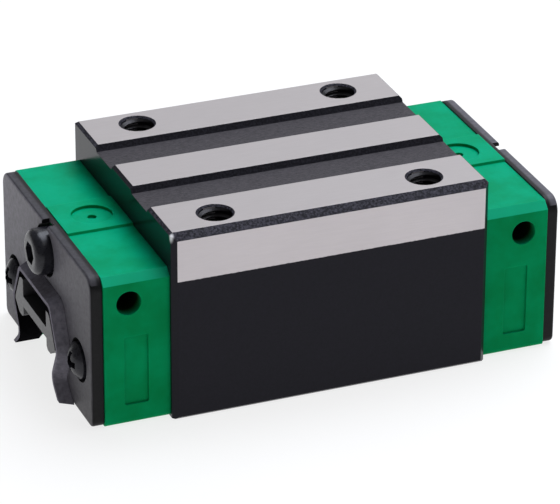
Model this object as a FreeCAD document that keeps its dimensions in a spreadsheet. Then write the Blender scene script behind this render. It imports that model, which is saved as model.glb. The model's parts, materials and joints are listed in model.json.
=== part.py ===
import FreeCAD, Part
import math
import os

import Sketcher

# Linear guide carriage, square block type for a 15 mm rail, in millimetres.
# Frame: X runs along the rail, Y across it, Z up towards the mounting face.
# Origin: centre of the carriage, on the plane of its bottom faces.

V = FreeCAD.Vector
X_AXIS = V(1, 0, 0)
Z_AXIS = V(0, 0, 1)

DIMENSIONS = {
    # steel block
    "block_length": 39.4,
    "block_half_width": 17.0,
    "block_height": 23.7,
    "edge_bevel_width": 0.95,
    "edge_bevel_drop": 0.77,
    "bottom_bevel": 0.3,
    "corner_bevel": 0.6,
    "end_bevel": 0.35,
    "top_groove_inner": 3.05,
    "top_groove_outer": 9.05,
    "top_groove_depth": 0.75,
    "top_groove_slope": 0.45,
    "bolt_half_pitch": 13.0,
    "bolt_hole_radius": 2.0,
    "bolt_hole_rim_radius": 2.25,
    "bolt_hole_depth": 5.5,
    # rail channel in the block
    "ceiling_height": 12.6,
    "ceiling_half_width": 6.3,
    "upper_race_top": 10.9,
    "lower_race_foot": 2.3,
    "foot_half_width": 8.3,
    "seal_seat_height": 1.0,
    "seal_seat_outer": 11.2,
    # ball circuits
    "ball_radius": 1.5,
    "race_clearance": 0.06,
    "channel_clearance": 0.08,
    "row_across": 7.8,
    "upper_row_height": 9.0,
    "lower_row_height": 4.2,
    "turn_radius": 3.03,
    "turn_tilt": 15.0,
    "straight_balls": 13,
    "turn_balls": 3,
    # return guides
    "guide_half_thickness": 1.66,
    "guide_web_thickness": 0.7,
    "guide_web_inset": 1.7,
    "guide_web_outset": 2.2,
    "guide_web_foot": 3.0,
    "guide_web_top": 10.0,
    "guide_pocket_gap": 0.03,
    # green end caps
    "cap_length": 8.0,
    "cap_half_width": 16.0,
    "cap_height": 19.1,
    "cap_foot": 0.15,
    "plateau_half_width": 3.8,
    "plateau_height": 19.4,
    "plateau_slope": 0.15,
    "cap_edge_bevel": 0.9,
    "cap_foot_round": 0.5,
    "side_port_radius": 1.5,
    "side_port_depth": 6.5,
    "side_port_along": 4.95,
    "side_port_height": 15.7,
    "port_height": 15.75,
    "side_panel_start": 2.65,
    "side_panel_end": 5.6,
    "side_panel_foot": 2.6,
    "side_panel_top": 11.4,
    "side_panel_round": 0.3,
    "side_panel_depth": 0.25,
    "nipple_seat_radius": 2.45,
    "nipple_seat_depth": 0.35,
    "nipple_mark_radius": 0.55,
    "nipple_mark_depth": 0.7,
    "nipple_seat_along": 3.7,
    "oil_groove_depth": 0.8,
    "oil_groove_half_width": 0.6,
    "oil_groove_foot": 11.0,
    "oil_passage_radius": 0.8,
    # end seals
    "plate_gap": 0.05,
    "plate_thickness": 1.45,
    "plate_half_width": 15.8,
    "plate_height": 19.3,
    "plate_top_round": 1.8,
    "plate_bottom_round": 1.0,
    "plate_edge_round": 0.3,
    "plate_foot": 0.1,
    "plate_hole_radius": 3.2,
    "plate_notch_half_width": 1.0,
    "plate_notch_depth": 0.95,
    "lip_proud": 1.5,
    "lip_wall": 0.5,
    "lip_flare": 0.7,
    # screws and port plugs
    "screw_across": 11.4,
    "screw_height": 7.0,
    "screw_radius": 1.0,
    "screw_hole_radius": 1.1,
    "screw_depth_in_block": 6.0,
    "screw_head_radius": 2.2,
    "screw_head_height": 2.75,
    "screw_dome_radius": 2.8,
    "screw_recess_reach": 1.3,
    "screw_recess_half_width": 0.38,
    "screw_recess_core": 0.75,
    "screw_recess_depth": 1.2,
    "plate_screw_hole_radius": 2.65,
    "plug_radius": 1.75,
    "plug_reach": 4.0,
    "plug_head_radius": 2.8,
    "plug_head_height": 3.4,
    "plug_head_round": 1.0,
    "plug_socket_flats": 2.5,
    "plug_socket_depth": 1.6,
    "grub_sink": 0.3,
    "grub_socket_flats": 2.0,
    "seat_gap": 0.02,
    "shank_gap": 0.05,
    # strips in the rail channel, and the transport insert
    "strip_gap": 0.05,
    "strip_end_gap": 0.02,
    "dummy_length": 61.4,
}

# Half outlines in the plane across the rail, as (y, z) from the rail's centre plane.
CAP_OPENING = [(5.6, 11.7), (8.0, 6.4), (6.1, 2.4)]
CAP_OPENING_FOOT = 8.4
LIP_PATH = [(0, 11.0), (5.3, 11.0), (7.7, 6.35), (5.45, 2.1), (8.0, -0.2)]
LIP_ROUNDS = [0.6, 1.3, 1.8]
INSERT_SECTION = [
    (4.2, 6.6),
    (4.2, 5.6),
    (4.6, 5.2),
    (5.6, 5.2),
    (6.1, 5.5),
    (7.15, 6.4),
    (7.15, 6.75),
    (5.45, 9.9),
    (5.0, 10.2),
    (4.2, 10.2),
    (4.2, 8.0),
]
TOP_RETAINER_ROOT = (5.5, 11.6)
SIDE_RETAINER_INNER = 7.72
SIDE_RETAINER_OUTER = 8.9
BOTTOM_SEAL_LIP = [(7.75, 0.45), (7.75, 0.25), (8.5, 0.1)]

# Sizes of cutting tools and half spaces, which only have to reach past the part.
BEYOND = 60.0
OVERCUT = 1.0

doc = FreeCAD.newDocument("LinearGuideCarriage")
sheet = doc.addObject("Spreadsheet::Sheet", "Dimensions")
for row, (alias, value) in enumerate(DIMENSIONS.items(), start=1):
    sheet.set(f"A{row}", alias)
    sheet.set(f"B{row}", str(value))
    sheet.setAlias(f"B{row}", alias)
doc.recompute()


def dim(alias):
    """The value of one driving dimension, in millimetres or degrees."""
    return float(getattr(sheet, alias))


def cell(alias):
    """The name that an expression uses for one driving dimension."""
    return f"Dimensions.{alias}"


# ---------------------------------------------------------------- worked out

BLOCK_END = dim("block_length") / 2
CAP_END = BLOCK_END + dim("cap_length")
PLATE_START = CAP_END + dim("plate_gap")
PLATE_END = PLATE_START + dim("plate_thickness")
LIP_END = PLATE_END + dim("lip_proud")
RACE_RADIUS = dim("ball_radius") + dim("race_clearance")
CHANNEL_RADIUS = dim("ball_radius") + dim("channel_clearance")
RETAINER_RADIUS = CHANNEL_RADIUS + dim("seat_gap")
BALL_PITCH = math.pi * dim("turn_radius") / dim("turn_balls")
TANGENT = BALL_PITCH * dim("straight_balls") / 2
SIDES = {"near": -1, "far": 1}
ENDS = {"left": -1, "right": 1}


def circuit_points(level, side):
    """Centres of the loaded row, the turn and the return row, in the plane across the rail."""
    rise = math.radians(dim("turn_tilt")) * (1 if level == "upper" else -1)
    loaded = (dim("row_across"), dim(f"{level}_row_height"))
    turn = (loaded[0] + dim("turn_radius") * math.cos(rise), loaded[1] + dim("turn_radius") * math.sin(rise))
    back = (2 * turn[0] - loaded[0], 2 * turn[1] - loaded[1])
    return [V(0, side * y, z) for y, z in (loaded, turn, back)]


def on_circle(centre, radius, degrees):
    """A point (y, z) on a circle in the plane across the rail."""
    angle = math.radians(degrees)
    return (centre[0] + radius * math.cos(angle), centre[1] + radius * math.sin(angle))


# ------------------------------------------------------------ sketch helpers

def origin_plane(body, role):
    """One of a body's own origin planes, found by its role."""
    return next(o for o in body.Origin.OriginFeatures if o.Role == role)


def new_body(name):
    """An empty body whose label is the node's name."""
    body = doc.addObject("PartDesign::Body", name)
    body.Label = name
    return body


def new_sketch(body, name, role, offset=0.0):
    """A sketch on one of the body's origin planes, moved along that plane's normal."""
    sketch = body.newObject("Sketcher::SketchObject", name)
    sketch.AttachmentSupport = [(origin_plane(body, role), "")]
    sketch.MapMode = "FlatFace"
    sketch.AttachmentOffset = FreeCAD.Placement(V(0, 0, offset), FreeCAD.Rotation())
    return sketch


def outline(sketch, steps):
    """Draw a closed outline. A step is a point, or (centre, end, turn) for an arc to a point."""
    def end_of(step):
        return step if not isinstance(step[0], tuple) else step[1]

    for before, step in zip([steps[-1]] + steps[:-1], steps):
        start, end = end_of(before), end_of(step)
        if isinstance(step[0], tuple):
            centre, _, turn = step
            first = math.atan2(start[1] - centre[1], start[0] - centre[0])
            last = math.atan2(end[1] - centre[1], end[0] - centre[0])
            if turn < 0:
                first, last = last, first
            radius = math.hypot(start[0] - centre[0], start[1] - centre[1])
            circle = Part.Circle(V(centre[0], centre[1], 0), Z_AXIS, radius)
            sketch.addGeometry(Part.ArcOfCircle(circle, first, last), False)
        elif math.dist(start, end) > 1e-6:
            sketch.addGeometry(Part.LineSegment(V(start[0], start[1], 0), V(end[0], end[1], 0)), False)


def mirrored(steps):
    """A half outline with y >= 0, from bottom to top, joined to its mirror image."""
    other = []
    points = [step if not isinstance(step[0], tuple) else step[1] for step in steps]
    for index in range(len(steps) - 1, -1, -1):
        following = steps[index + 1] if index + 1 < len(steps) else None
        y, z = points[index]
        if following is not None and isinstance(following[0], tuple):
            centre, _, turn = following
            other.append(((-centre[0], centre[1]), (-y, z), turn))
        else:
            other.append((-y, z))
    return steps + other


def backwards(steps):
    """The same open run of outline steps, drawn from its end to its start."""
    points = [step if not isinstance(step[0], tuple) else step[1] for step in steps]
    turned = [points[-1]]
    for index in range(len(steps) - 1, 0, -1):
        step = steps[index]
        if isinstance(step[0], tuple):
            turned.append((step[0], points[index - 1], -step[2]))
        else:
            turned.append(points[index - 1])
    return turned


def crossing(one, two):
    """Where the lines through two pairs of points cross."""
    (y1, z1), (y2, z2) = one
    (y3, z3), (y4, z4) = two
    det = (y1 - y2) * (z3 - z4) - (z1 - z2) * (y3 - y4)
    first, second = y1 * z2 - z1 * y2, y3 * z4 - z3 * y4
    return (
        (first * (y3 - y4) - (y1 - y2) * second) / det,
        (first * (z3 - z4) - (z1 - z2) * second) / det,
    )


def shifted(path, distance):
    """An open path of straight runs moved sideways, to its left where the distance is positive."""
    runs = []
    for (y1, z1), (y2, z2) in zip(path, path[1:]):
        length = math.hypot(y2 - y1, z2 - z1)
        dy, dz = -(z2 - z1) / length * distance, (y2 - y1) / length * distance
        runs.append(((y1 + dy, z1 + dz), (y2 + dy, z2 + dz)))
    corners = [crossing(one, two) for one, two in zip(runs, runs[1:])]
    return [runs[0][0]] + corners + [runs[-1][1]]


def rounded(path, radii):
    """Outline steps along an open path, with each inner corner rounded to its radius."""
    steps = [path[0]]
    for before, corner, after, radius in zip(path, path[1:], path[2:], radii):
        into = V(corner[0] - before[0], corner[1] - before[1], 0).normalize()
        out = V(after[0] - corner[0], after[1] - corner[1], 0).normalize()
        angle = into.getAngle(out)
        turn = 1 if into.cross(out).z > 0 else -1
        cut = radius * math.tan(angle / 2)
        here = V(corner[0], corner[1], 0)
        start, end = here - into * cut, here + out * cut
        centre = start + V(-into.y, into.x, 0) * (turn * radius)
        steps.append((start.x, start.y))
        steps.append(((centre.x, centre.y), (end.x, end.y), turn))
    return steps + [path[-1]]


def circles(sketch, centres, radius_alias):
    """Circles of one driven radius at the given places in a sketch."""
    for y, z in centres:
        index = sketch.addGeometry(Part.Circle(V(y, z, 0), Z_AXIS, dim(radius_alias)), False)
        rule = sketch.addConstraint(Sketcher.Constraint("Radius", index, dim(radius_alias)))
        sketch.setExpression(f"Constraints[{rule}]", cell(radius_alias))


def both_signs(y, z):
    """A place and its mirror image across the rail's centre plane."""
    return [(y, z), (-y, z)]


def pad(body, sketch, name, length, symmetric=False, reverse=False):
    """Pad a sketch by an expression, and make sure that it has some volume."""
    doc.recompute()
    feature = body.newObject("PartDesign::Pad", name)
    feature.Profile = sketch
    feature.setExpression("Length", length)
    feature.Reversed = reverse
    if symmetric:
        feature.SideType = "Symmetric"
    doc.recompute()
    if not body.Shape.Volume > 1e-6:
        raise RuntimeError(f"{name} added nothing")
    return feature


def pocket(body, sketch, name, depth, symmetric=False, reverse=False):
    """Pocket a sketch by an expression, and make sure that it removed something."""
    before = body.Shape.Volume
    feature = body.newObject("PartDesign::Pocket", name)
    feature.Profile = sketch
    feature.setExpression("Length", depth)
    feature.Reversed = reverse
    if symmetric:
        feature.SideType = "Symmetric"
    doc.recompute()
    if not body.Shape.Volume < before - 1e-6:
        raise RuntimeError(f"{name} removed nothing")
    return feature


def edges_where(shape, test):
    """Names of the edges whose middle point and end points pass a test."""
    names = []
    for index, edge in enumerate(shape.Edges, start=1):
        middle = edge.valueAt((edge.FirstParameter + edge.LastParameter) / 2)
        places = [vertex.Point for vertex in edge.Vertexes] + [middle]
        if all(test(point) for point in places):
            names.append(f"Edge{index}")
    return names


def bevel(body, name, test, size, kind="PartDesign::Chamfer", field="Size"):
    """Chamfer or fillet the edges of a body that pass a test."""
    base = body.Tip
    feature = body.newObject(kind, name)
    feature.Base = (base, edges_where(base.Shape, test))
    feature.setExpression(field, size)
    doc.recompute()
    return feature


def near_to(value, target):
    return abs(value - target) < 1e-4


def finished(name, shape):
    """A sub-part whose shape is computed from the sheet by boolean steps."""
    feature = doc.addObject("Part::Feature", name)
    feature.Label = name
    feature.Shape = shape
    feature.Placement = FreeCAD.Placement()
    return feature


def cylinder(radius, length, start, direction):
    return Part.makeCylinder(radius, length, start, direction)


def box(low, high):
    return Part.makeBox(high[0] - low[0], high[1] - low[1], high[2] - low[2], V(*low))


def mirror_end(shape, end):
    """The right-hand piece as built, or its mirror image for the left end."""
    return shape if end > 0 else shape.mirror(V(0, 0, 0), X_AXIS)


# ------------------------------------------------------------ carriage block

def block_outline():
    """Half section of the block: bottom face, channel with two raceways, and stepped top."""
    upper = (dim("row_across"), dim("upper_row_height"))
    lower = (dim("row_across"), dim("lower_row_height"))
    width, height, slope = dim("block_half_width"), dim("block_height"), dim("top_groove_slope")
    seat, seat_outer = dim("seal_seat_height"), dim("seal_seat_outer")
    floor = height - dim("top_groove_depth")
    groove_in, groove_out = dim("top_groove_inner"), dim("top_groove_outer")
    outer_angle, inner_angle = 130, 40
    race_foot = on_circle(lower, RACE_RADIUS, -outer_angle)
    channel = [
        (dim("ceiling_half_width"), dim("ceiling_height")),
        (dim("ceiling_half_width"), dim("upper_race_top")),
        on_circle(upper, RACE_RADIUS, outer_angle),
        (upper, on_circle(upper, RACE_RADIUS, -inner_angle), -1),
        on_circle(lower, RACE_RADIUS, inner_angle),
        (lower, race_foot, -1),
        (race_foot[0], dim("lower_race_foot")),
        (dim("foot_half_width"), seat),
        (seat_outer, seat),
        (seat_outer, 0),
    ]
    outside = [
        (width - dim("bottom_bevel"), 0),
        (width, dim("bottom_bevel")),
        (width, height - dim("edge_bevel_drop")),
        (width - dim("edge_bevel_width"), height),
        (groove_out, height),
        (groove_out - slope, floor),
        (groove_in + slope, floor),
        (groove_in, height),
    ]
    return mirrored(channel + outside)


def make_block():
    body = new_body("carriage_block")
    section = new_sketch(body, "BlockSection", "YZ_Plane")
    outline(section, block_outline())
    pad(body, section, "BlockPad", cell("block_length"), symmetric=True)

    returns = new_sketch(body, "ReturnHoleSketch", "YZ_Plane")
    for level in ("upper", "lower"):
        place = circuit_points(level, 1)[2]
        for y, z in both_signs(place.y, place.z):
            returns.addGeometry(Part.Circle(V(y, z, 0), Z_AXIS, CHANNEL_RADIUS), False)
    pocket(body, returns, "ReturnHoles", f"{cell('block_length')} + {OVERCUT}", symmetric=True)

    for end_name, end in ENDS.items():
        taps = new_sketch(body, f"ScrewHoleSketch_{end_name}", "YZ_Plane", end * BLOCK_END)
        circles(taps, both_signs(dim("screw_across"), dim("screw_height")), "screw_radius")
        depth = f"{cell('screw_depth_in_block')} + {OVERCUT}"
        pocket(body, taps, f"ScrewHoles_{end_name}", depth, reverse=end < 0)

    bolts = new_sketch(body, "BoltHoleSketch", "XY_Plane", dim("block_height"))
    pitch = dim("bolt_half_pitch")
    circles(bolts, both_signs(pitch, pitch) + both_signs(pitch, -pitch), "bolt_hole_radius")
    pocket(body, bolts, "BoltHoles", cell("bolt_hole_depth"))

    def rim(point):
        radius = math.hypot(abs(point.x) - pitch, abs(point.y) - pitch)
        return near_to(point.z, dim("block_height")) and near_to(radius, dim("bolt_hole_radius"))

    rim_size = f"{cell('bolt_hole_rim_radius')} - {cell('bolt_hole_radius')}"
    bevel(body, "BoltHoleRims", rim, rim_size)

    side_foot, side_top = dim("bottom_bevel"), dim("block_height") - dim("edge_bevel_drop")

    def corner(point):
        at_side = near_to(abs(point.x), BLOCK_END) and near_to(abs(point.y), dim("block_half_width"))
        return at_side and side_foot - 0.01 < point.z < side_top + 0.01

    bevel(body, "CornerBevels", corner, cell("corner_bevel"))

    low, high = dim("block_height") - dim("end_bevel"), dim("block_height")
    for end_name, end in ENDS.items():
        inside, outside = end * (BLOCK_END - dim("end_bevel")), end * (BLOCK_END + OVERCUT)
        wedge = new_sketch(body, f"PadEndSketch_{end_name}", "XZ_Plane")
        outline(wedge, [
            (inside, high),
            (end * BLOCK_END, low),
            (outside, low),
            (outside, high + OVERCUT),
            (inside, high + OVERCUT),
        ])
        full_width = f"2 * {cell('block_half_width')} + {OVERCUT}"
        pocket(body, wedge, f"PadEndBevel_{end_name}", full_width, symmetric=True)
    return body


# ------------------------------------------------------- ball turn channels

def turn_channel(level, side, radius):
    """The space one turn takes at the right-hand end: a half ring and two straight stubs."""
    loaded, turn, back = circuit_points(level, side)
    centre = V(TANGENT, turn.y, turn.z)
    across = (back - loaded).normalize()
    normal = X_AXIS.cross(across)
    ring = Part.makeTorus(dim("turn_radius"), radius, centre, normal)
    half_space = box((TANGENT, -BEYOND, -BEYOND), (TANGENT + BEYOND, BEYOND, BEYOND))
    space = ring.common(half_space)
    stub_start = BLOCK_END - OVERCUT
    for row in (loaded, back):
        stub = cylinder(radius, TANGENT - stub_start, V(stub_start, row.y, row.z), X_AXIS)
        space = space.fuse(stub)
    return space


def guide_blank(side, gap):
    """The block of material that a return guide is cut from, grown by a gap for its pocket."""
    half_thickness = dim("guide_half_thickness") + gap
    radius = dim("turn_radius") + gap
    pieces = []
    for level in ("upper", "lower"):
        loaded, turn, back = circuit_points(level, side)
        across = (back - loaded).normalize()
        normal = X_AXIS.cross(across)
        start = V(TANGENT, turn.y, turn.z) - normal * half_thickness
        pieces.append(cylinder(radius, 2 * half_thickness, start, normal))
        foot = box((0, -radius, -half_thickness), (TANGENT - BLOCK_END, radius, half_thickness))
        foot.rotate(V(0, 0, 0), X_AXIS, math.degrees(math.atan2(across.z, across.y)))
        foot.translate(V(BLOCK_END, turn.y, turn.z))
        pieces.append(foot)
    middle = circuit_points("upper", 1)[1].y
    inner, outer = middle - dim("guide_web_inset") - gap, middle + dim("guide_web_outset") + gap
    low_y, high_y = sorted((side * inner, side * outer))
    web_end = BLOCK_END + dim("guide_web_thickness") + gap
    pieces.append(box((BLOCK_END, low_y, dim("guide_web_foot")), (web_end, high_y, dim("guide_web_top"))))
    outside_block = box((BLOCK_END, -BEYOND, -BEYOND), (BLOCK_END + BEYOND, BEYOND, BEYOND))
    return pieces[0].fuse(pieces[1:]).common(outside_block)


def make_return_guide(side, end):
    shape = guide_blank(side, 0.0)
    for level in ("upper", "lower"):
        shape = shape.cut(turn_channel(level, side, CHANNEL_RADIUS))
    start = V(BLOCK_END - OVERCUT, side * dim("screw_across"), dim("screw_height"))
    shape = shape.cut(cylinder(dim("screw_hole_radius"), dim("cap_length") + OVERCUT, start, X_AXIS))
    solid = max(shape.Solids, key=lambda piece: piece.Volume)
    return mirror_end(solid, end)


# ----------------------------------------------------------------- end caps

def cap_outline():
    """Half section of an end cap, from the rail opening out to the raised centre of its top."""
    side, foot, top = dim("cap_half_width"), dim("cap_foot"), dim("cap_height")
    bevel_size, foot_round = dim("cap_edge_bevel"), dim("cap_foot_round")
    return mirrored(CAP_OPENING + [
        (CAP_OPENING_FOOT, foot),
        (side - foot_round, foot),
        ((side - foot_round, foot + foot_round), (side, foot + foot_round), 1),
        (side, top - bevel_size),
        (side - bevel_size, top),
        (dim("plateau_half_width") + dim("plateau_slope"), top),
        (dim("plateau_half_width"), dim("plateau_height")),
    ])


def make_end_cap(name, end):
    body = new_body(name)
    section = new_sketch(body, f"CapSection_{name}", "YZ_Plane", end * BLOCK_END)
    outline(section, cap_outline())
    pad(body, section, f"CapPad_{name}", cell("cap_length"), reverse=end < 0)

    port_along = end * (BLOCK_END + dim("side_port_along"))
    panel_start, panel_end = (end * (BLOCK_END + dim(f"side_panel_{part}")) for part in ("start", "end"))
    for side_name, side in SIDES.items():
        key = f"{name}_{side_name}"
        port = new_sketch(body, f"SidePort_{key}", "XZ_Plane", -side * dim("cap_half_width"))
        circles(port, [(port_along, dim("side_port_height"))], "side_port_radius")
        pocket(body, port, f"SidePortHole_{key}", cell("side_port_depth"), reverse=side > 0)

        panel = new_sketch(body, f"SidePanel_{key}", "XZ_Plane", -side * dim("cap_half_width"))
        limits = (panel_start, panel_end, dim("side_panel_foot"), dim("side_panel_top"))
        outline(panel, rounded_panel(*limits, dim("side_panel_round")))
        pocket(body, panel, f"SidePanelRecess_{key}", cell("side_panel_depth"), reverse=side > 0)

    nipple_place = [(end * (BLOCK_END + dim("nipple_seat_along")), 0)]
    for part in ("seat", "mark"):
        ring = new_sketch(body, f"Nipple_{part}_{name}", "XY_Plane", dim("plateau_height"))
        circles(ring, nipple_place, f"nipple_{part}_radius")
        pocket(body, ring, f"Nipple_{part}_recess_{name}", cell(f"nipple_{part}_depth"))

    port = new_sketch(body, f"Port_{name}", "YZ_Plane", end * CAP_END)
    circles(port, [(0, dim("port_height"))], "plug_radius")
    pocket(body, port, f"PortHole_{name}", f"{cell('plug_reach')} + {OVERCUT}", reverse=end < 0)

    holes = new_sketch(body, f"ScrewPass_{name}", "YZ_Plane", end * CAP_END)
    circles(holes, both_signs(dim("screw_across"), dim("screw_height")), "screw_hole_radius")
    pocket(body, holes, f"ScrewPassHoles_{name}", cell("cap_length"), reverse=end < 0)
    return body


def rounded_panel(x_one, x_two, low, high, radius):
    """A rectangle with round corners, as outline steps that run anticlockwise."""
    left, right = sorted((x_one, x_two))
    return [
        (left + radius, low),
        (right - radius, low),
        ((right - radius, low + radius), (right, low + radius), 1),
        (right, high - radius),
        ((right - radius, high - radius), (right - radius, high), 1),
        (left + radius, high),
        ((left + radius, high - radius), (left, high - radius), 1),
        (left, low + radius),
        ((left + radius, low + radius), (left + radius, low), 1),
    ]


def cap_cavities(end):
    """Turn channels, return guide pockets and oil grooves that open on the cap's inner face."""
    port, half_width = dim("port_height"), dim("oil_groove_half_width")
    groove_end = BLOCK_END + dim("oil_groove_depth")
    reach = circuit_points("upper", 1)[1].y
    cuts = [box((BLOCK_END, -reach, port - half_width), (groove_end, reach, port + half_width))]
    passage = CAP_END - dim("plug_reach") - BLOCK_END
    cuts.append(cylinder(dim("oil_passage_radius"), passage, V(BLOCK_END, 0, port), X_AXIS))
    for side in SIDES.values():
        cuts.append(guide_blank(side, dim("guide_pocket_gap")))
        for level in ("upper", "lower"):
            cuts.append(turn_channel(level, side, CHANNEL_RADIUS))
        y = side * reach
        low = (BLOCK_END, y - half_width, dim("oil_groove_foot"))
        cuts.append(box(low, (groove_end, y + half_width, port)))
    return [mirror_end(cut, end) for cut in cuts]


# ---------------------------------------------------------------- end seals

def rail_edge(distance):
    """Half outline, top to foot, at a distance outside the lip's inner edge, which follows the rail."""
    foot = dim("plate_foot")
    path = shifted(LIP_PATH, distance)
    path[-1] = crossing(path[-2:], [(0, foot), (1, foot)])
    ridge_and_top = LIP_ROUNDS[:2]
    radii = [radius + distance for radius in ridge_and_top] + [LIP_ROUNDS[2] - distance]
    return rounded(path, radii)[1:]


def make_seal_plate(name, end):
    side, top = dim("plate_half_width"), dim("plate_height")
    round_top, round_low, foot = dim("plate_top_round"), dim("plate_bottom_round"), dim("plate_foot")
    body = new_body(name)
    section = new_sketch(body, f"PlateSection_{name}", "YZ_Plane", end * PLATE_START)
    steps = rail_edge(dim("lip_wall")) + [
        (side - round_low, foot),
        ((side - round_low, foot + round_low), (side, foot + round_low), 1),
        (side, top - round_top),
        ((side - round_top, top - round_top), (side - round_top, top), 1),
    ]
    outline(section, mirrored(steps))
    pad(body, section, f"PlatePad_{name}", cell("plate_thickness"), reverse=end < 0)

    holes = new_sketch(body, f"PlateHoles_{name}", "YZ_Plane", end * PLATE_END)
    circles(holes, both_signs(dim("screw_across"), dim("screw_height")), "plate_screw_hole_radius")
    circles(holes, [(0, dim("port_height"))], "plate_hole_radius")
    pocket(body, holes, f"PlateHoleCuts_{name}", f"{cell('plate_thickness')} + {OVERCUT}", reverse=end < 0)

    notch = new_sketch(body, f"PlateNotch_{name}", "YZ_Plane", end * PLATE_END)
    notch_side, notch_foot, notch_top = dim("plate_notch_half_width"), dim("port_height"), top + OVERCUT
    outline(notch, [
        (-notch_side, notch_foot),
        (notch_side, notch_foot),
        (notch_side, notch_top),
        (-notch_side, notch_top),
    ])
    pocket(body, notch, f"PlateNotchCut_{name}", cell("plate_notch_depth"), reverse=end < 0)

    def rim(point):
        outermost = abs(point.y) > side - round_top - 0.01 or near_to(point.z, top) or near_to(point.z, foot)
        return near_to(abs(point.x), PLATE_END) and outermost

    bevel(body, f"PlateRim_{name}", rim, cell("plate_edge_round"), "PartDesign::Fillet", "Radius")
    return body


def make_seal_lip(name, end):
    """The rubber edge: a wall through the plate around the rail opening, then a lip that thins outwards."""
    body = new_body(name)
    root, tip = dim("lip_wall") + dim("lip_flare"), dim("lip_wall")
    wall = new_sketch(body, f"LipSection_{name}", "YZ_Plane", end * PLATE_START)
    outline(wall, mirrored(rail_edge(0.0) + backwards(rail_edge(tip))))
    pad(body, wall, f"LipPad_{name}", cell("plate_thickness"), reverse=end < 0)

    lip = body.newObject("PartDesign::AdditiveLoft", f"LipLoft_{name}")
    sections = []
    for part, x, distance in (("root", PLATE_END, root), ("tip", LIP_END, tip)):
        section = new_sketch(body, f"Lip_{part}_{name}", "YZ_Plane", end * x)
        outline(section, mirrored(rail_edge(0.0) + backwards(rail_edge(distance))))
        sections.append(section)
    doc.recompute()
    lip.Profile = sections[0]
    lip.Sections = sections[1:]
    lip.Ruled = True
    doc.recompute()
    body.Tip = lip
    return body


# --------------------------------------------------------- retainers, seals

def make_strip(name, steps, length):
    """A strip of constant section along the rail, as long as an expression says."""
    body = new_body(name)
    section = new_sketch(body, f"StripSection_{name}", "YZ_Plane")
    outline(section, steps)
    pad(body, section, f"StripPad_{name}", length, symmetric=True)
    return body


def flipped(steps, side):
    """The same outline on the near or far side of the rail."""
    if side > 0:
        return steps
    points = [step if not isinstance(step[0], tuple) else step[1] for step in steps]
    other = []
    for index in range(len(steps) - 1, -1, -1):
        following = steps[(index + 1) % len(steps)]
        y, z = points[index]
        if isinstance(following[0], tuple):
            centre, _, turn = following
            other.append(((-centre[0], centre[1]), (-y, z), turn))
        else:
            other.append((-y, z))
    return other


def top_retainer_steps():
    """A flat strip under the channel's ceiling, with a lip down each side that cups the upper balls."""
    upper = (dim("row_across"), dim("upper_row_height"))
    wall = dim("ceiling_half_width") - dim("strip_gap")
    tip_angle, root_angle = 143, 133
    tip_width, tip_rise = 0.55, 0.1
    lip_tip = on_circle(upper, RETAINER_RADIUS, tip_angle)
    lip_top = on_circle(upper, RETAINER_RADIUS, root_angle)
    return mirrored([
        TOP_RETAINER_ROOT,
        (lip_tip[0] - tip_width, lip_tip[1] + tip_rise),
        lip_tip,
        (min(lip_top[0], wall), lip_top[1]),
        (wall, dim("upper_race_top") + dim("strip_gap")),
        (wall, dim("ceiling_height") - dim("strip_gap")),
    ])


def side_retainer_steps():
    """The section between the two rows: flat to the rail and to the block, hollow to each row."""
    upper = (dim("row_across"), dim("upper_row_height"))
    lower = (dim("row_across"), dim("lower_row_height"))
    inner, outer = SIDE_RETAINER_INNER, SIDE_RETAINER_OUTER

    def height(centre, y, way):
        return centre[1] + way * math.sqrt(RETAINER_RADIUS ** 2 - (y - centre[0]) ** 2)

    return [
        (inner, height(lower, inner, 1)),
        (lower, (outer, height(lower, outer, 1)), -1),
        (outer, height(upper, outer, -1)),
        (upper, (inner, height(upper, inner, -1)), -1),
    ]


def bottom_seal_steps():
    """A thin strip in the seat under the block, with a lip towards the rail's foot."""
    back, top = dim("seal_seat_outer") - dim("strip_gap"), dim("seal_seat_height") - dim("seat_gap")
    root = BOTTOM_SEAL_LIP[-1]
    return BOTTOM_SEAL_LIP + [(back, root[1]), (back, top), (root[0], top)]


# --------------------------------------------------------- screws and plugs

def shank(radius, start, end, y, z):
    """A plain round shank along the rail, run on a little so that it joins its head."""
    return cylinder(radius, end - start + dim("shank_gap"), V(start, y, z), X_AXIS)


def make_end_screws(name, end):
    """Two pan-head screws with a cross recess, from the plate's holes into the block."""
    seat = CAP_END + dim("seat_gap")
    top = seat + dim("screw_head_height")
    reach, arm = dim("screw_recess_reach"), dim("screw_recess_half_width")
    z = dim("screw_height")
    pieces = []
    for side in SIDES.values():
        y = side * dim("screw_across")
        head = cylinder(dim("screw_head_radius"), top - seat, V(seat, y, z), X_AXIS)
        head = head.common(Part.makeSphere(dim("screw_dome_radius"), V(top - dim("screw_dome_radius"), y, z)))
        shank_start = BLOCK_END - dim("screw_depth_in_block")
        screw = head.fuse(shank(dim("screw_radius") - dim("shank_gap"), shank_start, seat, y, z))
        recess_floor = top - dim("screw_recess_depth")
        bar = box((recess_floor, y - reach, z - arm), (top + OVERCUT, y + reach, z + arm))
        core = cylinder(dim("screw_recess_core"), top + OVERCUT - recess_floor, V(recess_floor, y, z), X_AXIS)
        recess = bar.fuse(bar.rotated(V(0, y, z), X_AXIS, 90)).fuse(core)
        screw = screw.cut(recess).removeSplitter()
        pieces.append(mirror_end(screw, end))
    return finished(name, Part.makeCompound(pieces))


def hexagon_socket(front, z, flats):
    """The key socket of a plug, as a prism that reaches in from its front face."""
    corners = [on_circle((0, z), flats / math.sqrt(3), 60 * k) for k in range(7)]
    hexagon = Part.Face(Part.makePolygon([V(front + OVERCUT, *corner) for corner in corners]))
    return hexagon.extrude(X_AXIS * -(dim("plug_socket_depth") + OVERCUT))


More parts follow.
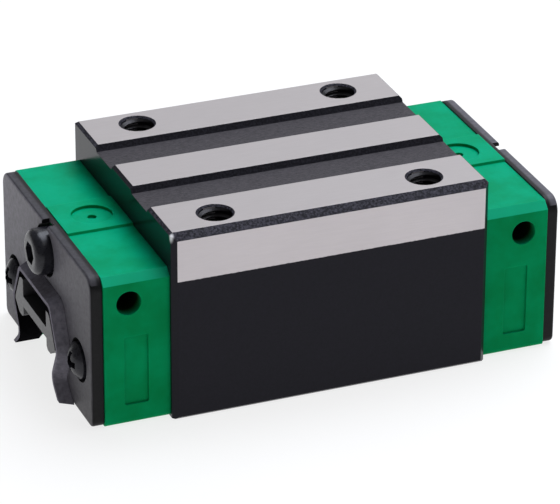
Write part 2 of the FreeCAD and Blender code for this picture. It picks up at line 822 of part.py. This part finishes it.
def make_headed_plug(name, end):
    """A round-headed plug with a hexagon socket, screwed into the cap's grease port."""
    seat = CAP_END + dim("seat_gap")
    top = seat + dim("plug_head_height")
    z = dim("port_height")
    head = cylinder(dim("plug_head_radius"), top - seat, V(seat, 0, z), X_AXIS)
    front = [edge for edge in head.Edges if edge.Closed and near_to(edge.BoundBox.XMin, top)]
    head = head.makeFillet(dim("plug_head_round"), front)
    stem = shank(dim("plug_radius") - dim("shank_gap"), CAP_END - dim("plug_reach"), seat, 0, z)
    plug = head.fuse(stem).cut(hexagon_socket(top, z, dim("plug_socket_flats")))
    return finished(name, mirror_end(plug.removeSplitter(), end))


def make_headless_plug(name, end):
    """A grub screw with a hexagon socket, sunk a little into the cap's grease port."""
    start, front = CAP_END - dim("plug_reach"), CAP_END - dim("grub_sink")
    z = dim("port_height")
    plug = cylinder(dim("plug_radius") - dim("shank_gap"), front - start, V(start, 0, z), X_AXIS)
    plug = plug.cut(hexagon_socket(front, z, dim("grub_socket_flats")))
    return finished(name, mirror_end(plug.removeSplitter(), end))


# -------------------------------------------------------------------- balls

def ball(name, x_rule, place, across, reach_rule):
    """One steel ball whose centre is bound to the sheet through expressions."""
    sphere = doc.addObject("Part::Sphere", name)
    sphere.setExpression("Radius", cell("ball_radius"))
    sphere.setExpression("Placement.Base.x", x_rule)
    sphere.setExpression("Placement.Base.y", f"{place.y} + ({across.y}) * {reach_rule}")
    sphere.setExpression("Placement.Base.z", f"{place.z} + ({across.z}) * {reach_rule}")
    return sphere


def ball_group(name, balls):
    """One node that holds a group of separate balls."""
    group = doc.addObject("Part::Compound", name)
    group.Label = name
    group.Links = balls
    return group


def make_circuit(level, side_name):
    """The four groups of balls of one endless circuit."""
    loaded, turn, back = circuit_points(level, SIDES[side_name])
    across = (back - loaded).normalize()
    pitch = f"(3.14159265358979 * {cell('turn_radius')} / {cell('turn_balls')})"
    radius = cell("turn_radius")
    rows, turn_balls = int(dim("straight_balls")), int(dim("turn_balls"))
    tangent = f"{pitch} * {cell('straight_balls')} / 2"
    groups = []
    for kind, place in (("loaded", loaded), ("return", back)):
        name = f"{kind}_balls_{level}_{side_name}"
        balls = [
            ball(f"{name}_{index + 1}", f"{index - (rows - 1) / 2} * {pitch}", place, across, "0")
            for index in range(rows)
        ]
        groups.append(ball_group(name, balls))
    for end_name, end in ENDS.items():
        name = f"turn_balls_{level}_{side_name}_{end_name}"
        balls = []
        for index in range(turn_balls):
            degrees = 180 / turn_balls * (index + 0.5)
            x_rule = f"{end} * ({tangent} + {radius} * sin({degrees} deg))"
            reach_rule = f"{radius} * (0 - cos({degrees} deg))"
            balls.append(ball(f"{name}_{index + 1}", x_rule, turn, across, reach_rule))
        groups.append(ball_group(name, balls))
    return groups


# ------------------------------------------------------------------ assembly

def make_finished_cap(end_name, end):
    """The outer moulding from its body's features, less the cavities on its inner face."""
    moulded = make_end_cap(f"cap_moulding_{end_name}", end).Shape
    for cavity in cap_cavities(end):
        moulded = moulded.cut(cavity)
    return finished(f"end_cap_{end_name}", max(moulded.Solids, key=lambda piece: piece.Volume))


parts = [make_block()]
for end_name, end in ENDS.items():
    parts.append(make_finished_cap(end_name, end))
    parts.append(make_seal_plate(f"seal_plate_{end_name}", end))
    parts.append(make_seal_lip(f"seal_lip_{end_name}", end))
    parts.append(make_end_screws(f"end_screws_{end_name}", end))
    make_plug = make_headed_plug if end_name == "left" else make_headless_plug
    parts.append(make_plug(f"port_plug_{end_name}", end))
    for side_name, side in SIDES.items():
        parts.append(finished(f"return_guide_{side_name}_{end_name}", make_return_guide(side, end)))

strip_length = f"{cell('block_length')} - 2 * {cell('strip_end_gap')}"
parts.append(make_strip("top_ball_retainer", top_retainer_steps(), strip_length))
for side_name, side in SIDES.items():
    side_steps = flipped(side_retainer_steps(), side)
    parts.append(make_strip(f"side_ball_retainer_{side_name}", side_steps, strip_length))
    seal_steps = flipped(bottom_seal_steps(), side)
    parts.append(make_strip(f"bottom_seal_{side_name}", seal_steps, strip_length))
parts.append(make_strip("dummy_rail", mirrored(INSERT_SECTION), cell("dummy_length")))
for level in ("upper", "lower"):
    for side_name in SIDES:
        parts.extend(make_circuit(level, side_name))
doc.recompute()

# -------------------------------------------------------------------- checks

for item in doc.Objects:
    if "Invalid" in item.State or "Error" in item.State:
        raise RuntimeError(f"{item.Name} failed: {item.State}")
for part in parts:
    if part.Shape.isNull() or not part.Shape.isValid() or not part.Shape.Solids:
        raise RuntimeError(f"{part.Label} has no valid shape")

os.makedirs("parts", exist_ok=True)
for part in parts:
    part.Shape.exportStep(f"parts/{part.Label}.step")
    solids, limits = len(part.Shape.Solids), part.Shape.BoundBox
    span = f"x {limits.XMin:.2f}..{limits.XMax:.2f}"
    print(f"{part.Label}: {solids} solid(s), {part.Shape.Volume:.1f} mm3, {span}")
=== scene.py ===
import json
import math

import bpy
from mathutils import Matrix, Vector


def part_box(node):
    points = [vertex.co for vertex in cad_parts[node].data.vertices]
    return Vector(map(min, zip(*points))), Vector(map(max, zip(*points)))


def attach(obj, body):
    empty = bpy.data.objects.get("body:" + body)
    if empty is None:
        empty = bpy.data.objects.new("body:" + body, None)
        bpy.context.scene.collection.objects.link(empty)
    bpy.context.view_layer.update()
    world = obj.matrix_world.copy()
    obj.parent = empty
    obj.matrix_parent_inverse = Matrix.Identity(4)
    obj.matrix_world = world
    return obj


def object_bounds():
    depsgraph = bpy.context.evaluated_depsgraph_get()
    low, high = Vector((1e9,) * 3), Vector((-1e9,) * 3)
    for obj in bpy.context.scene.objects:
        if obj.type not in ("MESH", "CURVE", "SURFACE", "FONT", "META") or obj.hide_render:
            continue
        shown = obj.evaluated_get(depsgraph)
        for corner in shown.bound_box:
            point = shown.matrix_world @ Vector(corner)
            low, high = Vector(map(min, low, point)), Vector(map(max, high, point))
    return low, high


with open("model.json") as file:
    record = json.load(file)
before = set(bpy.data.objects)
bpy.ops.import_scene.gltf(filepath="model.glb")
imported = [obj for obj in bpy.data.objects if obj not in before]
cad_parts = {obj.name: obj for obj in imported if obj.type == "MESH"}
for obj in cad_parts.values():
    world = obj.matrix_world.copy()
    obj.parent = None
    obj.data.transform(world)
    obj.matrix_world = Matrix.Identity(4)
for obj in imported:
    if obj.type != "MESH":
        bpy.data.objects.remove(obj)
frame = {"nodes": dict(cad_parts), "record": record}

# Square block carriage for a profile rail. X runs along the rail, Y across it, Z up.
# Near is -Y, the side with the ground reference band. Left is -X.

CAD_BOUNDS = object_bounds()
MM = 0.001
nodes = frame["nodes"]
mounts = {mount["name"]: mount for mount in frame["record"]["mounts"]}


# ------------------------------------------------------------------- camera

CAMERA_PLACE = (-154.4, -383.1, 217.8)
CAMERA_TARGET = (-0.06, -0.75, 10.56)
CAMERA_ROLL = 0.29
CAMERA_LENS = 248.8


def aimed_camera(location_mm, target_mm, roll_degrees, lens_mm):
    """A long-lens camera. Places are in millimetres."""
    camera = bpy.data.objects.new("camera", bpy.data.cameras.new("camera"))
    bpy.context.scene.collection.objects.link(camera)
    location, target = Vector(location_mm) * MM, Vector(target_mm) * MM
    aim = (target - location).to_track_quat("-Z", "Y").to_matrix().to_4x4()
    roll = Matrix.Rotation(math.radians(roll_degrees), 4, "Z")
    camera.matrix_world = Matrix.Translation(location) @ aim @ roll
    camera.data.lens = lens_mm
    camera.data.clip_start = 0.01
    camera.data.clip_end = 20.0
    bpy.context.scene.camera = camera


aimed_camera(CAMERA_PLACE, CAMERA_TARGET, CAMERA_ROLL, CAMERA_LENS)


# ---------------------------------------------------------- floor and light

OVERHEAD_COLOUR = (0.95, 1.0, 1.09)
BLOCK_MIDDLE = (0, 0, 0.01)


def make_world(colour, strength):
    world = bpy.data.worlds.new("studio")
    world.use_nodes = True
    background = world.node_tree.nodes["Background"]
    background.inputs["Color"].default_value = (*colour, 1.0)
    background.inputs["Strength"].default_value = strength
    bpy.context.scene.world = world


def make_area_light(name, location, target, size, power, colour=(1.0, 1.0, 1.0)):
    """A square soft box that faces a target. Places and sizes are in metres, power in watts."""
    data = bpy.data.lights.new(name, "AREA")
    data.shape = "SQUARE"
    data.size = size
    data.energy = power
    data.color = colour
    light = bpy.data.objects.new(name, data)
    bpy.context.scene.collection.objects.link(light)
    aim = Vector(target) - Vector(location)
    light.rotation_mode = "QUATERNION"
    light.rotation_quaternion = aim.to_track_quat("-Z", "Y")
    light.location = location


def make_floor(half_size, colour, glow):
    """A pale paper floor, lit a little from below as on a light table."""
    mesh = bpy.data.meshes.new("floor")
    corners = [(-1, -1), (1, -1), (1, 1), (-1, 1)]
    height = CAD_BOUNDS[0].z
    points = [(x * half_size, y * half_size, height) for x, y in corners]
    mesh.from_pydata(points, [], [(0, 1, 2, 3)])
    floor = bpy.data.objects.new("floor", mesh)
    bpy.context.scene.collection.objects.link(floor)
    material = bpy.data.materials.new("floor_paper")
    material.use_nodes = True
    shader = material.node_tree.nodes["Principled BSDF"]
    shader.inputs["Base Color"].default_value = (*colour, 1.0)
    shader.inputs["Roughness"].default_value = 0.9
    shader.inputs["Specular IOR Level"].default_value = 0.1
    shader.inputs["Emission Color"].default_value = (1.0, 1.0, 1.0, 1.0)
    shader.inputs["Emission Strength"].default_value = glow
    mesh.materials.append(material)


make_world((1.0, 1.0, 1.0), 0.16)
make_floor(6.0, (0.22, 0.22, 0.22), 0.79)
make_area_light(
    "overhead_soft_box", (0.30, 0.20, 0.74), BLOCK_MIDDLE, size=0.65, power=7.8, colour=OVERHEAD_COLOUR)
make_area_light("front_strip", (0.27, -0.35, 0.66), BLOCK_MIDDLE, size=0.22, power=0.35)
make_area_light("back_panel", (0.34, 0.80, 0.42), (0, 0, 0.02), size=0.80, power=0.9)
bpy.context.scene.view_settings.view_transform = "Standard"
bpy.context.scene.view_settings.look = "None"


# ------------------------------------------------------------ shader helpers

class Shader:
    """A small builder for one procedural material."""

    def __init__(self, name):
        self.material = bpy.data.materials.new(name)
        self.material.use_nodes = True
        self.tree = self.material.node_tree
        self.surface = self.tree.nodes["Principled BSDF"]
        self.coordinates = self.tree.nodes.new("ShaderNodeTexCoord")

    def node(self, kind, **settings):
        made = self.tree.nodes.new(kind)
        for key, value in settings.items():
            setattr(made, key, value)
        return made

    def feed(self, value, socket):
        """Link an output to a socket, or set the socket's own value."""
        if isinstance(value, bpy.types.NodeSocket):
            self.tree.links.new(value, socket)
        else:
            socket.default_value = value

    def math(self, operation, first, second=0.0):
        made = self.node("ShaderNodeMath", operation=operation)
        self.feed(first, made.inputs[0])
        self.feed(second, made.inputs[1])
        return made.outputs[0]

    def position(self):
        """The place in the row frame, as separate X, Y and Z outputs in metres."""
        split = self.node("ShaderNodeSeparateXYZ")
        self.feed(self.coordinates.outputs["Object"], split.inputs[0])
        return split.outputs

    def facing(self):
        """The surface's normal in the row frame, as separate outputs."""
        split = self.node("ShaderNodeSeparateXYZ")
        self.feed(self.coordinates.outputs["Normal"], split.inputs[0])
        return split.outputs

    def stretched(self, x_scale, y_scale, z_scale):
        """Object coordinates scaled per axis, in features per metre."""
        mapping = self.node("ShaderNodeMapping")
        self.feed(self.coordinates.outputs["Object"], mapping.inputs["Vector"])
        mapping.inputs["Scale"].default_value = (x_scale, y_scale, z_scale)
        return mapping.outputs[0]

    def distance(self, point, z_scale):
        """Distance from a point in metres, with heights counted at a fraction of themselves."""
        offset = self.node("ShaderNodeVectorMath", operation="SUBTRACT")
        self.feed(self.coordinates.outputs["Object"], offset.inputs[0])
        self.feed(point, offset.inputs[1])
        squeezed = self.node("ShaderNodeVectorMath", operation="MULTIPLY")
        self.feed(offset.outputs[0], squeezed.inputs[0])
        self.feed((1.0, 1.0, z_scale), squeezed.inputs[1])
        length = self.node("ShaderNodeVectorMath", operation="LENGTH")
        self.feed(squeezed.outputs[0], length.inputs[0])
        return length.outputs["Value"]

    def noise(self, scale, detail=2.0, roughness=0.5, vector=None):
        """Noise of about one feature per 1/scale metres, from 0 to 1."""
        made = self.node("ShaderNodeTexNoise")
        self.feed(vector or self.coordinates.outputs["Object"], made.inputs["Vector"])
        made.inputs["Scale"].default_value = scale
        made.inputs["Detail"].default_value = detail
        made.inputs["Roughness"].default_value = roughness
        return made.outputs[0]

    def remap(self, value, low, high, new_low, new_high, smooth=False):
        made = self.node("ShaderNodeMapRange", clamp=True)
        if smooth:
            made.interpolation_type = "SMOOTHSTEP"
        for socket, item in zip(made.inputs, (value, low, high, new_low, new_high)):
            self.feed(item, socket)
        return made.outputs[0]

    def mix(self, factor, first, second):
        """Mix two colours."""
        made = self.node("ShaderNodeMix", data_type="RGBA")
        self.feed(factor, made.inputs[0])
        self.feed(first if isinstance(first, bpy.types.NodeSocket) else (*first, 1.0), made.inputs[6])
        self.feed(second if isinstance(second, bpy.types.NodeSocket) else (*second, 1.0), made.inputs[7])
        return made.outputs[2]

    def blend(self, factor, first, second):
        """Mix two numbers."""
        made = self.node("ShaderNodeMix", data_type="FLOAT")
        for index, item in ((0, factor), (2, first), (3, second)):
            self.feed(item, made.inputs[index])
        return made.outputs[0]

    def soft_edges(self, radius_mm):
        """The normal with every sharp edge rounded off a little."""
        made = self.node("ShaderNodeBevel", samples=4)
        made.inputs["Radius"].default_value = radius_mm * MM
        return made.outputs[0]

    def bump(self, height, distance_mm, strength=1.0, edge_mm=0.08):
        """Relief from a height, on top of softened edges."""
        made = self.node("ShaderNodeBump")
        self.feed(height, made.inputs["Height"])
        self.feed(self.soft_edges(edge_mm), made.inputs["Normal"])
        made.inputs["Distance"].default_value = distance_mm * MM
        made.inputs["Strength"].default_value = strength
        self.feed(made.outputs[0], self.surface.inputs["Normal"])

    def set(self, **values):
        for key, value in values.items():
            self.feed(value, self.surface.inputs[key.replace("_", " ")])


def wear(shader, *names):
    """Give CAD nodes a material."""
    for name in names:
        mesh = nodes[name].data
        mesh.materials.clear()
        mesh.materials.append(shader.material)


# --------------------------------------------------------- block, ground steel

# Limits of a normal's component: a face along the axis, and a face that is upright or steeper.
ALONG_AXIS = 0.93
STEEP = 0.25
PAD_SKIN = 0.1 * MM
BAND_HEIGHT = 5.95 * MM
BAND_RAGGEDNESS = 0.03 * MM
RACEWAY_REACH = 9.4 * MM
RACEWAY_TOP = 12.7 * MM
GROOVE_OUTER = 9.2 * MM
# Painted highlight: a glint painted into the base colour at the near-left top corner of the block.
GLINT_SPOT_INSET = Vector((0.04, 0.66, -0.34)) * MM
GLINT_SPOT_CORE = 0.1 * MM
GLINT_SPOT_RADIUS = 0.50 * MM
GLINT_SPOT_Z_SCALE = 0.5
PAINTED_GLINT_COLOUR = (0.88, 0.87, 0.90)


def block_steel():
    """Ground pads, reference band and raceways. Black oxide, rough on the bevels, everywhere else. A
    painted glint brightens the near-left top corner.
    """
    s = Shader("block_steel")
    _, y, z = s.position()
    nx, ny, nz = s.facing()
    low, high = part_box("carriage_block")
    edge_noise = s.noise(2600, 3.0, 0.6)
    ragged = s.remap(edge_noise, 0.3, 0.7, -BAND_RAGGEDNESS, BAND_RAGGEDNESS)

    upward = s.math("GREATER_THAN", nz, ALONG_AXIS)
    on_top = s.math("GREATER_THAN", z, high.z - PAD_SKIN)
    pad = s.math("MULTIPLY", upward, on_top)

    band_low = s.math("ADD", ragged, high.z - BAND_HEIGHT)
    near_side = s.math("LESS_THAN", ny, -ALONG_AXIS)
    above = s.math("GREATER_THAN", z, band_low)
    band = s.math("MULTIPLY", near_side, above)

    inner = s.math("LESS_THAN", s.math("ABSOLUTE", y), RACEWAY_REACH)
    below_ceiling = s.math("LESS_THAN", z, RACEWAY_TOP)
    endwise = s.math("GREATER_THAN", s.math("ABSOLUTE", nx), ALONG_AXIS)
    raceway = s.math("MULTIPLY", s.math("MULTIPLY", inner, below_ceiling), s.math("SUBTRACT", 1.0, endwise))
    ground = s.math("MAXIMUM", s.math("MAXIMUM", pad, band), raceway)

    grain = s.noise(1.0, 3.0, 0.65, s.stretched(350, 5200, 5200))
    cloud = s.noise(90, 3.0, 0.5)
    pad_tone = s.mix(grain, (0.435, 0.400, 0.398), (0.500, 0.462, 0.459))
    band_tone = s.mix(grain, (0.640, 0.594, 0.612), (0.720, 0.670, 0.692))
    bright = s.mix(band, pad_tone, band_tone)
    bright = s.mix(s.remap(cloud, 0.3, 0.7, 0.0, 0.12), bright, (0.42, 0.40, 0.41))

    in_groove = s.math("MULTIPLY", upward, s.math("SUBTRACT", 1.0, on_top))
    oxide_noise = s.noise(3800, 4.0, 0.65)
    smooth_face = s.math("LESS_THAN", nz, STEEP)
    cloudy = s.remap(oxide_noise, 0.3, 0.7, 0.0, 1.0)
    fine_oxide = s.mix(cloudy, (0.007, 0.0065, 0.0115), (0.010, 0.009, 0.016))
    speckle = s.blend(s.math("LESS_THAN", s.math("ABSOLUTE", y), GROOVE_OUTER), 1.0, 0.28)
    speckled = s.math("MULTIPLY", s.remap(oxide_noise, 0.42, 0.68, 0.0, 1.0), speckle)
    coarse_oxide = s.mix(speckled, (0.010, 0.0095, 0.014), (0.085, 0.080, 0.105))
    oxide = s.mix(smooth_face, coarse_oxide, fine_oxide)
    streaks = s.noise(1.0, 3.0, 0.6, s.stretched(1500, 6500, 6500))
    streaky = s.remap(streaks, 0.3, 0.75, 0.0, 1.0)
    groove = s.mix(streaky, (0.036, 0.033, 0.037), (0.085, 0.078, 0.086))
    dark = s.mix(in_groove, oxide, groove)

    # Painted glint: the base colour turns near white around the near-left top corner.
    glint_spot_centre = Vector((low.x, low.y, high.z)) + GLINT_SPOT_INSET
    from_corner = s.distance(glint_spot_centre, GLINT_SPOT_Z_SCALE)
    painted_glint = s.remap(from_corner, GLINT_SPOT_CORE, GLINT_SPOT_RADIUS, 1.0, 0.0, smooth=True)
    s.set(Base_Color=s.mix(painted_glint, s.mix(ground, dark, bright), PAINTED_GLINT_COLOUR))
    s.set(Metallic=s.blend(ground, s.blend(in_groove, 0.0, 0.5), 0.35))
    ground_rough = s.remap(grain, 0.25, 0.75, 0.28, 0.33)
    coarse_rough = s.remap(oxide_noise, 0.3, 0.7, 0.50, 0.70)
    oxide_rough = s.blend(smooth_face, coarse_rough, s.remap(oxide_noise, 0.3, 0.7, 0.18, 0.26))
    s.set(Roughness=s.blend(ground, oxide_rough, ground_rough))
    coarse = s.blend(smooth_face, 1.0, 0.05)
    fine = s.math("MULTIPLY", grain, 0.012)
    rough = s.math("MULTIPLY", oxide_noise, coarse)
    s.bump(s.blend(ground, rough, fine), 0.05, 0.9)
    s.surface.inputs["Specular IOR Level"].default_value = 0.13
    wear(s, "carriage_block")


# --------------------------------------------------------------- cap plastic

CAP_HALF_WIDTH = 16.0 * MM
CAP_CHAMFER_UP = 0.7
CAP_CHAMFER_SPREAD = 0.15
# Painted highlight: how far the chamfers are mixed towards a light green.
CAP_CHAMFER_PAINTED_HIGHLIGHT = 0.45
SIDE_PORT_X = 24.65 * MM
SIDE_PORT_Z = 15.70 * MM
SIDE_PORT_RADIUS = 1.50 * MM
SIDE_PORT_RIM = 0.05 * MM


def cap_plastic():
    """Green moulding, a little translucent, with faint flow marks. Painted light makes it paler on top, a
    painted highlight lightens the chamfers, and painted shade makes the side ports dark.
    """
    s = Shader("cap_plastic")
    cloud = s.noise(190, 4.0, 0.6)
    fine = s.noise(2400, 2.0, 0.5)
    flow = s.remap(cloud, 0.3, 0.7, 0.0, 1.0, smooth=True)
    x, y, z = s.position()
    _, ny, nz = s.facing()
    # Painted light: faces that look up get a paler, bluer green than the sides.
    painted_top_light = s.remap(nz, 0.4, 0.95, 0.0, 1.0)
    deep = s.mix(painted_top_light, (0.0, 0.236, 0.072), (0.0, 0.285, 0.120))
    pale = s.mix(painted_top_light, (0.0, 0.302, 0.108), (0.0, 0.360, 0.186))
    green = s.mix(flow, deep, pale)
    # Painted highlight on the chamfer faces of the caps.
    off_slope = s.math("ABSOLUTE", s.math("SUBTRACT", nz, CAP_CHAMFER_UP))
    tilted = s.math("LESS_THAN", off_slope, CAP_CHAMFER_SPREAD)
    chamfer = s.math("MULTIPLY", tilted, s.math("GREATER_THAN", s.math("ABSOLUTE", ny), 0.5))
    green = s.mix(s.math("MULTIPLY", chamfer, CAP_CHAMFER_PAINTED_HIGHLIGHT), green, (0.02, 0.56, 0.33))
    # Painted shade: the inside of each side port is darkened to near black, deeper in more.
    along = s.math("SUBTRACT", s.math("ABSOLUTE", x), SIDE_PORT_X)
    off_axis = [along, s.math("SUBTRACT", z, SIDE_PORT_Z)]
    squares = [s.math("MULTIPLY", part, part) for part in off_axis]
    from_axis = s.math("SQRT", s.math("ADD", *squares))
    in_port = s.math("LESS_THAN", from_axis, SIDE_PORT_RADIUS + SIDE_PORT_RIM)
    depth = s.math("SUBTRACT", CAP_HALF_WIDTH, s.math("ABSOLUTE", y))
    shade = s.math("MULTIPLY", in_port, s.remap(depth, 0.1 * MM, 1.5 * MM, 0.0, 1.0))
    s.set(Base_Color=s.mix(shade, green, (0.010, 0.020, 0.004)))
    s.set(Roughness=s.remap(fine, 0.3, 0.7, 0.30, 0.40))
    s.bump(s.noise(1400, 3.0, 0.55), 0.015, 0.5)
    s.surface.inputs["Specular IOR Level"].default_value = 0.02
    s.surface.inputs["Subsurface Weight"].default_value = 0.20
    s.surface.inputs["Subsurface Radius"].default_value = (0.1, 1.0, 0.6)
    s.surface.inputs["Subsurface Scale"].default_value = 0.8 * MM
    wear(s, "end_cap_left", "end_cap_right")


# -------------------------------------------------------------------- rubber

PLATE_START = 27.75 * MM
PLATE_RIM_BLACK = 0.35 * MM
PLATE_RIM_GREY = 0.65 * MM
PLATE_HEIGHT = 19.3 * MM
PLATE_HALF_WIDTH = 15.8 * MM
RAIL_CENTRE_Z = 5.0 * MM
RUBBER_TINT = (1.0, 0.95, 1.12)


def rubber(name, tone, sheen, specular):
    """Black rubber with a fine matt grain. The tone is a grey level that may vary over the piece."""
    s = Shader(name)
    grain = s.noise(4200, 3.0, 0.6)
    mottle = s.remap(s.noise(1500, 4.0, 0.65), 0.25, 0.75, 0.65, 1.35)
    level = s.math("MULTIPLY", tone(s), mottle)
    s.set(Base_Color=s.mix(level, (0.0, 0.0, 0.0), RUBBER_TINT))
    s.set(Roughness=s.remap(grain, 0.3, 0.7, 0.40, 0.54))
    s.bump(grain, 0.02, 0.6, edge_mm=0.15)
    s.surface.inputs["Specular IOR Level"].default_value = specular
    s.surface.inputs["Sheen Weight"].default_value = sheen
    s.surface.inputs["Sheen Roughness"].default_value = 0.35
    return s


def plate_painted_light_tone(s):
    """Painted reflection: greyest on the outer face towards its top and its far side. Painted light on the
    top rim, lighter on the right plate than the left. Black on the rim beside the cap and on the rim's
    sideways faces, painted shade.
    """
    x, y, z = s.position()
    nx, _, nz = s.facing()
    # Painted reflection on the outer face, greyer towards the top and the far side.
    rise = s.remap(z, 0.0, PLATE_HEIGHT, 0.055, 0.105)
    painted_sweep = s.remap(y, -PLATE_HALF_WIDTH, PLATE_HALF_WIDTH, 0.75, 1.65)
    painted_face_sheen = s.math("MULTIPLY", rise, painted_sweep)
    outward = s.math("GREATER_THAN", s.math("ABSOLUTE", nx), 0.7)
    upward = s.math("GREATER_THAN", nz, 0.5)
    away = s.math("SUBTRACT", s.math("ABSOLUTE", x), PLATE_START)
    # Painted light on the rim: lighter on the right plate, grey where it looks up, near black where it
    # faces sideways.
    painted_rim_light = s.blend(s.math("GREATER_THAN", x, 0.0), 0.048, 0.105)
    top_rim = s.remap(away, PLATE_RIM_BLACK, PLATE_RIM_GREY, 0.006, painted_rim_light)
    rim = s.blend(upward, 0.006, top_rim)
    return s.blend(outward, rim, painted_face_sheen)


def lip_painted_light_tone(s):
    """Painted light and shade: grey outside, lighter on the front faces, black on the side that faces the
    rail.
    """
    _, y, z = s.position()
    nx, ny, nz = s.facing()
    across = s.math("MULTIPLY", y, ny)
    upright = s.math("MULTIPLY", s.math("SUBTRACT", z, RAIL_CENTRE_Z), nz)
    from_rail = s.math("GREATER_THAN", s.math("ADD", across, upright), 0.0)
    front = s.math("GREATER_THAN", s.math("ABSOLUTE", nx), 0.9)
    # Painted light on the outer and front faces; the side towards the rail is painted black as shade.
    outside = s.blend(front, 0.150, 0.210)
    return s.blend(s.math("MAXIMUM", from_rail, front), 0.004, outside)


def strip_tone(s):
    """The same near black all over."""
    return 0.012


def seal_rubbers():
    """Plates, lips and the two strips under the block."""
    plate = rubber("seal_plate", plate_painted_light_tone, sheen=0.10, specular=0.16)
    wear(plate, "seal_plate_left", "seal_plate_right")
    lip = rubber("seal_lip", lip_painted_light_tone, sheen=0.0, specular=0.0)
    wear(lip, "seal_lip_left", "seal_lip_right")
    strip = rubber("seal_strip", strip_tone, sheen=0.05, specular=0.16)
    wear(strip, "bottom_seal_near", "bottom_seal_far")


# ------------------------------------------------------------ other materials

def black_steel():
    """Glossy black oxide of the screws and port plugs."""
    s = Shader("black_steel")
    patch = s.noise(1800, 3.0, 0.6)
    s.set(Base_Color=s.mix(patch, (0.008, 0.008, 0.011), (0.026, 0.026, 0.033)))
    s.set(Roughness=s.remap(patch, 0.3, 0.7, 0.22, 0.36))
    s.bump(patch, 0.008, 0.5)
    s.surface.inputs["Metallic"].default_value = 0.20
    s.surface.inputs["Specular IOR Level"].default_value = 0.30
    wear(s, "end_screws_left", "end_screws_right", "port_plug_left", "port_plug_right")


def insert_plastic():
    """Satin black moulding of the transport insert and the ball retainers."""
    s = Shader("insert_plastic")
    grain = s.noise(3000, 3.0, 0.55)
    s.set(Base_Color=s.mix(grain, (0.030, 0.029, 0.032), (0.050, 0.049, 0.053)))
    s.set(Roughness=s.remap(grain, 0.3, 0.7, 0.34, 0.46))
    s.bump(grain, 0.012, 0.5)
    wear(s, "dummy_rail", "top_ball_retainer", "side_ball_retainer_near", "side_ball_retainer_far")


def guide_plastic():
    """Natural moulding of the return guides."""
    s = Shader("guide_plastic")
    cloud = s.noise(700, 3.0, 0.5)
    s.set(Base_Color=s.mix(cloud, (0.62, 0.60, 0.54), (0.74, 0.72, 0.66)))
    s.set(Roughness=s.remap(cloud, 0.3, 0.7, 0.40, 0.52))
    s.bump(cloud, 0.01, 0.4)
    wear(s, *[name for name in nodes if name.startswith("return_guide")])


def ball_steel():
    """Polished balls."""
    s = Shader("ball_steel")
    haze = s.noise(2500, 2.0, 0.5)
    s.set(Base_Color=s.mix(haze, (0.66, 0.66, 0.67), (0.74, 0.74, 0.75)))
    s.set(Roughness=s.remap(haze, 0.3, 0.7, 0.06, 0.12))
    s.surface.inputs["Metallic"].default_value = 1.0
    wear(s, *[name for name in nodes if "_balls_" in name])


# ------------------------------------------------------------- bolt threads

THREAD_PITCH = 0.70 * MM
THREAD_CREST = 1.64 * MM
THREAD_CREST_HALF_WIDTH = 0.05 * MM
THREAD_ROOT_HALF_WIDTH = 0.31 * MM
THREAD_DEPTH = 5.2 * MM
THREAD_START = 0.50 * MM
THREAD_STEPS = 40


def thread_ridge(centre, root_radius):
    """Points and faces of one helical ridge that stands inwards from the wall of a hole."""
    turns = (THREAD_DEPTH - THREAD_START) / THREAD_PITCH
    steps = int(turns * THREAD_STEPS)
    run_in_steps = THREAD_STEPS / 4
    points = []
    for step in range(steps + 1):
        angle = 2 * math.pi * step / THREAD_STEPS
        run_in = min(1.0, step / run_in_steps, (steps - step) / run_in_steps)
        crest = root_radius + (THREAD_CREST - root_radius) * run_in
        z = centre.z - THREAD_START - THREAD_PITCH * step / THREAD_STEPS
        section = [
            (root_radius, THREAD_ROOT_HALF_WIDTH),
            (crest, THREAD_CREST_HALF_WIDTH),
            (crest, -THREAD_CREST_HALF_WIDTH),
            (root_radius, -THREAD_ROOT_HALF_WIDTH),
        ]
        for radius, rise in section:
            x = centre.x + radius * math.cos(angle)
            y = centre.y + radius * math.sin(angle)
            points.append((x, y, z + rise))
    faces = [(0, 1, 2, 3), tuple(4 * steps + k for k in (3, 2, 1, 0))]
    for step in range(steps):
        for k in range(4):
            after = (k + 1) % 4
            faces.append((4 * step + k, 4 * step + 4 + k, 4 * step + 4 + after, 4 * step + after))
    return points, faces


def make_bolt_threads(material):
    """The threads of the four bolt holes, one piece each."""
    bolts = mounts["mounting_bolts"]
    dims = bolts["dims"]
    for number, (i, j) in enumerate([(-1, -1), (1, -1), (1, 1), (-1, 1)], start=1):
        offset = Vector((i * dims["spacing_x_mm"] / 2, j * dims["spacing_y_mm"] / 2, 0)) * MM
        points, faces = thread_ridge(Vector(bolts["pos_m"]) + offset, dims["hole_r_mm"] * MM)
        mesh = bpy.data.meshes.new(f"bolt_thread_{number}")
        mesh.from_pydata(points, [], faces)
        mesh.materials.append(material)
        thread = bpy.data.objects.new(f"bolt_thread_{number}", mesh)
        bpy.context.scene.collection.objects.link(thread)
        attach(thread, "carriage")


def make_thread_steel():
    """Tapped steel, oxide black, rubbed in places."""
    s = Shader("thread_steel")
    rub = s.noise(2600, 3.0, 0.6)
    s.set(Base_Color=s.mix(rub, (0.007, 0.006, 0.008), (0.036, 0.034, 0.038)))
    s.set(Roughness=s.remap(rub, 0.3, 0.7, 0.30, 0.48))
    s.surface.inputs["Metallic"].default_value = 0.5
    return s.material


block_steel()
cap_plastic()
seal_rubbers()
black_steel()
insert_plastic()
guide_plastic()
ball_steel()
make_bolt_threads(make_thread_steel())
